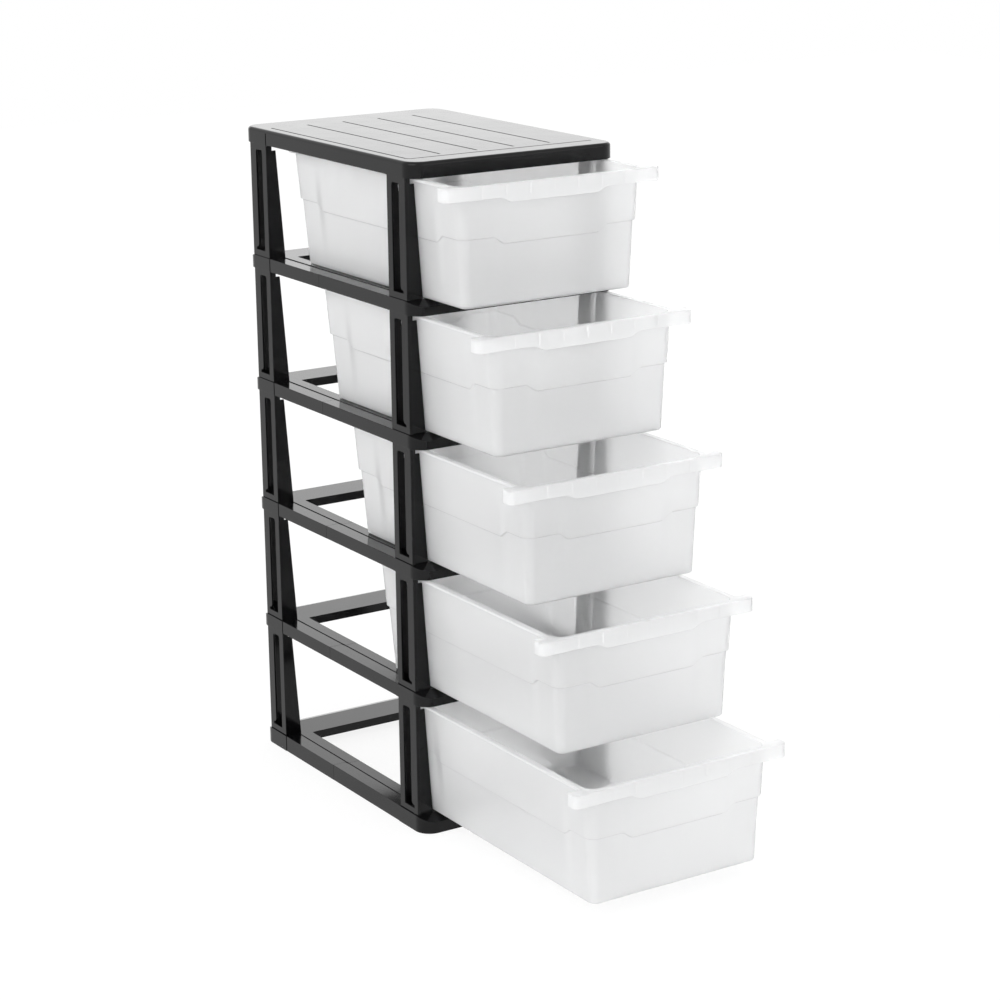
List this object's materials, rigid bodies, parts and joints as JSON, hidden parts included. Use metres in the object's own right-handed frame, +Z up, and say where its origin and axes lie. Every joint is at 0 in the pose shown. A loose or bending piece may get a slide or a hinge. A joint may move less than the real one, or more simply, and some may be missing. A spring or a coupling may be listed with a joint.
{
  "type": "drawer tower",
  "caption": "Free-standing drawer tower: a black frame of stacked rings and slotted posts holds translucent tub drawers that slide out to the front.",
  "frame": {"origin": "centre of the frame's footprint, on the floor", "axes": "+X to the right seen from the front, -Y to the front, where the drawers come out, +Z up"},
  "size_m": [0.288, 0.7235, 0.795],
  "materials": {
    "frame_plastic": "gloss moulded black plastic",
    "drawer_plastic": "milky translucent moulded plastic"
  },
  "bodies": {
    "frame": {"top_panel": "frame_plastic", "ring_1_front": "frame_plastic", "ring_1_rear": "frame_plastic", "ring_2_front": "frame_plastic", "ring_2_rear": "frame_plastic", "ring_3_front": "frame_plastic", "ring_3_rear": "frame_plastic", "ring_4_front": "frame_plastic", "ring_4_rear": "frame_plastic", "base_ring_front": "frame_plastic", "base_ring_rear": "frame_plastic", "post_1_front_left": "frame_plastic", "post_1_front_right": "frame_plastic", "post_1_rear_left": "frame_plastic", "post_1_rear_right": "frame_plastic", "post_2_front_left": "frame_plastic", "post_2_front_right": "frame_plastic", "post_2_rear_left": "frame_plastic", "post_2_rear_right": "frame_plastic", "post_3_front_left": "frame_plastic", "post_3_front_right": "frame_plastic", "post_3_rear_left": "frame_plastic", "post_3_rear_right": "frame_plastic", "post_4_front_left": "frame_plastic", "post_4_front_right": "frame_plastic", "post_4_rear_left": "frame_plastic", "post_4_rear_right": "frame_plastic", "post_5_front_left": "frame_plastic", "post_5_front_right": "frame_plastic", "post_5_rear_left": "frame_plastic", "post_5_rear_right": "frame_plastic"},
    "drawer_1": {"drawer_1": "drawer_plastic"},
    "drawer_2": {"drawer_2": "drawer_plastic"},
    "drawer_3": {"drawer_3": "drawer_plastic"},
    "drawer_4": {"drawer_4": "drawer_plastic"},
    "drawer_5": {"drawer_5": "drawer_plastic"}
  },
  "joints": [
    {"name": "drawer_1_slide", "type": "slide", "parent": "frame", "child": "drawer_1", "axis": [0, -1, 0], "range_m": [-0.078, 0.248]},
    {"name": "drawer_2_slide", "type": "slide", "parent": "frame", "child": "drawer_2", "axis": [0, -1, 0], "range_m": [-0.141, 0.185]},
    {"name": "drawer_3_slide", "type": "slide", "parent": "frame", "child": "drawer_3", "axis": [0, -1, 0], "range_m": [-0.202, 0.124]},
    {"name": "drawer_4_slide", "type": "slide", "parent": "frame", "child": "drawer_4", "axis": [0, -1, 0], "range_m": [-0.261, 0.065]},
    {"name": "drawer_5_slide", "type": "slide", "parent": "frame", "child": "drawer_5", "axis": [0, -1, 0], "range_m": [-0.323, 0.003]}
  ]
}
